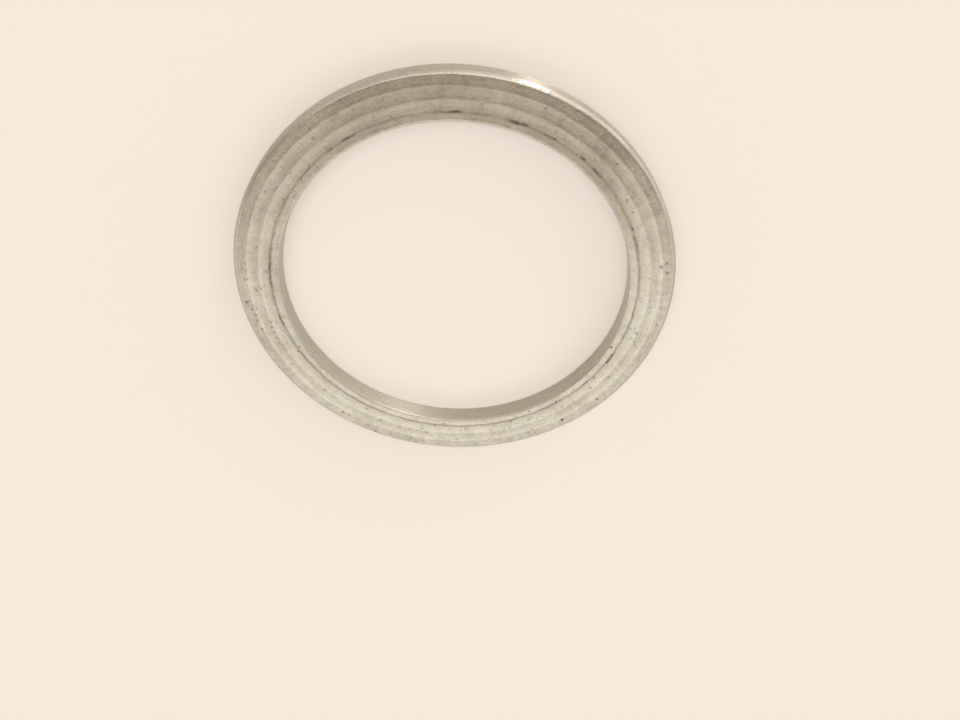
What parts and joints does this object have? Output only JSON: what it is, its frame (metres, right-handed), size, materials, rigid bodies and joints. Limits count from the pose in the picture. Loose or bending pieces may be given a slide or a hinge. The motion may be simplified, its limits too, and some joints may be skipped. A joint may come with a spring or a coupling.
{
  "type": "hub centric ring",
  "caption": "Flat turned aluminium ring that centres a wheel's larger bore on a smaller hub spigot, with chamfered edges and a step-faced front.",
  "frame": {"origin": "centre of the back face, on the surface that the ring lies on", "axes": "+Z along the ring's axis, out of the step-faced front; the ring is the same all round, so X and Y are free"},
  "size_m": [0.0731, 0.073, 0.0035],
  "materials": {
    "turned_aluminium": "satin, step-faced with fine turning marks"
  },
  "bodies": {
    "root": {"hub_ring": "turned_aluminium"}
  },
  "joints": []
}
